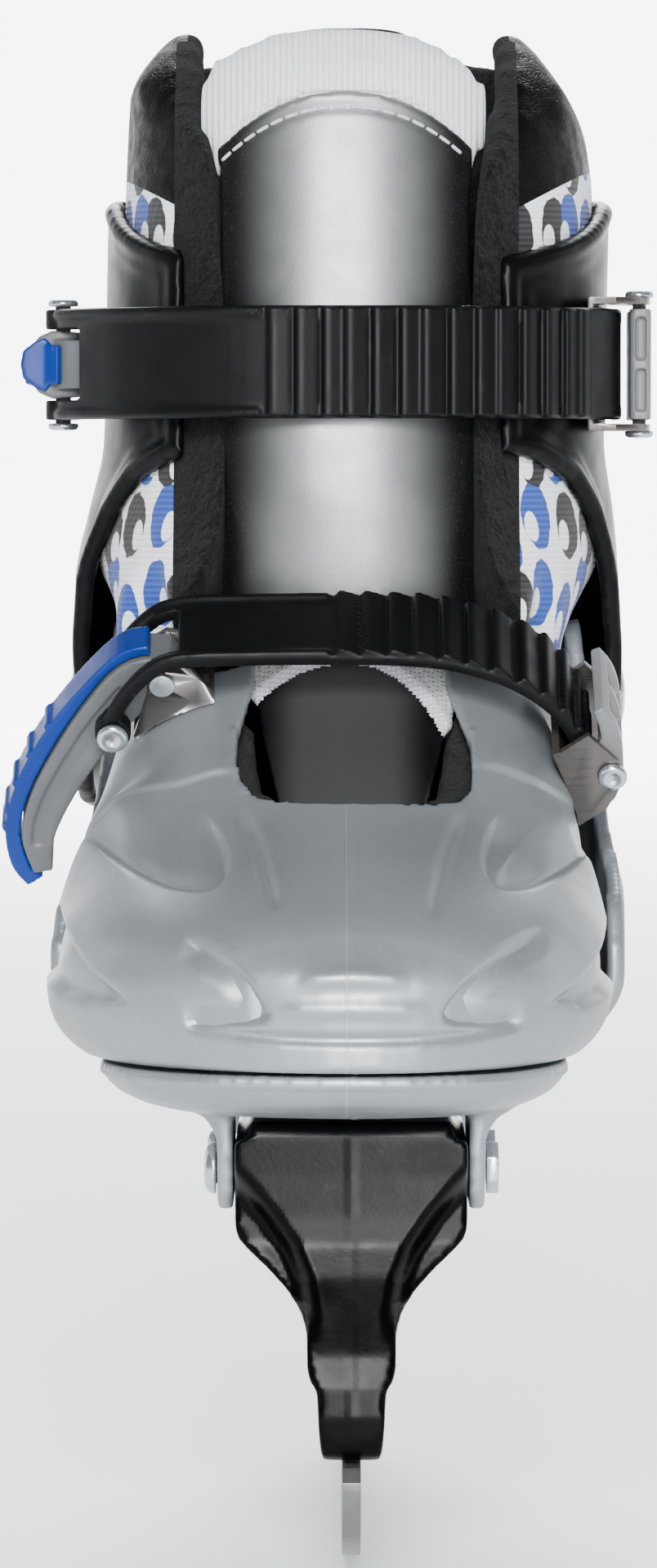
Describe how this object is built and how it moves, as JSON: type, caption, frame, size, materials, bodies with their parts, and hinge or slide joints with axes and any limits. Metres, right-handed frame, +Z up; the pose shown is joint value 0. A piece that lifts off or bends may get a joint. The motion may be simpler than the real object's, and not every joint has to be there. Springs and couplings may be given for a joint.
{
  "type": "adjustable ice skate",
  "caption": "Size-adjustable hard-shell softboot ice skate with steel runner, flexing cuff, silver toe shell and two lever-and-ratchet strap buckles.",
  "frame": {"origin": "lowest line of the runner, at the middle of its thickness, below the middle of the boot", "axes": "+Z up, -Y towards the toe, +X towards the inner side of the foot; this is the right skate"},
  "size_m": [0.1311, 0.255, 0.3106],
  "materials": {
    "runner_steel": "ground and polished, fine grinding lines",
    "fastener_steel": "bright zinc",
    "bracket_steel": "dark plated sheet, satin",
    "silver_plastic": "satin silver with fine metallic speckle",
    "holder_plastic": "black satin glass-filled nylon",
    "black_plastic": "black semi-gloss",
    "strap_plastic": "black rubbery polyurethane",
    "grey_plastic": "satin grey",
    "light_grey_plastic": "satin light grey",
    "blue_plastic": "royal blue, semi-gloss",
    "silver_sheet": "thin metallic-coated synthetic sheet",
    "white_fabric": "ribbed knitted mesh",
    "grey_fabric": "smooth dark padded sheet with a mesh edge",
    "black_fabric": "black fleece lining with printed side panels and synthetic leather collar"
  },
  "bodies": {
    "chassis": {"runner": "runner_steel", "blade_holder": "holder_plastic", "holder_rivet_front": "fastener_steel", "holder_rivet_rear": "fastener_steel", "sole_plate": "silver_plastic", "frame_bolt_front_1": "fastener_steel", "frame_nut_front_1": "fastener_steel", "frame_bolt_front_2": "fastener_steel", "frame_nut_front_2": "fastener_steel", "frame_bolt_rear_1": "fastener_steel", "frame_nut_rear_1": "fastener_steel", "frame_bolt_rear_2": "fastener_steel", "frame_nut_rear_2": "fastener_steel", "rear_shell": "silver_plastic", "insole": "white_fabric", "liner_foot": "black_fabric", "tongue_lower": "grey_fabric", "cuff_rivet_left": "fastener_steel", "cuff_rivet_right": "fastener_steel"},
    "toe": {"toe_shell": "silver_plastic", "instep_lever_bracket": "bracket_steel", "instep_lever_pin": "fastener_steel", "instep_ratchet_bracket": "bracket_steel", "instep_ratchet_pin": "fastener_steel"},
    "size_latch": {"size_button": "grey_plastic"},
    "cuff_and_liner": {"cuff": "black_plastic", "liner_ankle": "black_fabric", "tongue_pad": "white_fabric", "tongue_shield": "silver_sheet", "upper_lever_bracket": "bracket_steel", "upper_lever_pin": "fastener_steel", "upper_ratchet_bracket": "bracket_steel", "upper_ratchet_pin": "fastener_steel"},
    "upper_lever_arm": {"upper_lever": "grey_plastic", "upper_lever_inlay": "blue_plastic"},
    "upper_band": {"upper_strap": "strap_plastic", "upper_strap_pin": "fastener_steel"},
    "upper_thumb": {"upper_ratchet_lever": "light_grey_plastic"},
    "instep_lever_arm": {"instep_lever": "grey_plastic", "instep_lever_inlay": "blue_plastic"},
    "instep_band": {"instep_strap": "strap_plastic", "instep_strap_pin": "fastener_steel"},
    "instep_thumb": {"instep_ratchet_lever": "light_grey_plastic"}
  },
  "joints": [
    {"name": "toe_extend", "type": "slide", "parent": "chassis", "child": "toe", "axis": [0, -1, 0], "range_m": [0, 0.02]},
    {"name": "size_button_press", "type": "slide", "parent": "chassis", "child": "size_latch", "axis": [1, 0, 0], "range_m": [0, 0.0025], "stiffness_N_per_m": 900, "springref_m": -0.003},
    {"name": "cuff_flex", "type": "hinge", "parent": "chassis", "child": "cuff_and_liner", "pos_m": [0, 0.045, 0.166], "axis": [1, 0, 0], "range_deg": [-3, 6], "stiffness_Nm_per_rad": 25},
    {"name": "upper_lever_open", "type": "hinge", "parent": "cuff_and_liner", "child": "upper_lever_arm", "pos_m": [-0.0508, 0.009, 0.2346], "axis": [0, 0, 1], "range_deg": [0, 80]},
    {"name": "upper_strap_swing", "type": "hinge", "parent": "upper_lever_arm", "child": "upper_band", "pos_m": [-0.0588, 0.015, 0.2346], "axis": [0, 0, 1], "range_deg": [-144, 0]},
    {"name": "upper_ratchet_lift", "type": "hinge", "parent": "cuff_and_liner", "child": "upper_thumb", "pos_m": [0.0592, 0.007, 0.2346], "axis": [0, 0, -1], "range_deg": [0, 35], "stiffness_Nm_per_rad": 0.15, "springref_deg": -20.05},
    {"name": "instep_lever_open", "type": "hinge", "parent": "toe", "child": "instep_lever_arm", "pos_m": [-0.0372, -0.04013, 0.1747], "axis": [0, 0.848, 0.5299], "range_deg": [0, 80]},
    {"name": "instep_strap_swing", "type": "hinge", "parent": "instep_lever_arm", "child": "instep_band", "pos_m": [-0.047, -0.03499, 0.16647], "axis": [0, 0.848, 0.5299], "range_deg": [-112, 0]},
    {"name": "instep_ratchet_lift", "type": "hinge", "parent": "toe", "child": "instep_thumb", "pos_m": [0.052, -0.03069, 0.1596], "axis": [0, 0.848, 0.5299], "range_deg": [0, 35], "stiffness_Nm_per_rad": 0.15, "springref_deg": -20.05}
  ],
  "couplings": [
    {"joint": "upper_strap_swing", "follows": "upper_lever_open", "ratio": -1.8},
    {"joint": "instep_strap_swing", "follows": "instep_lever_open", "ratio": -1.4}
  ]
}
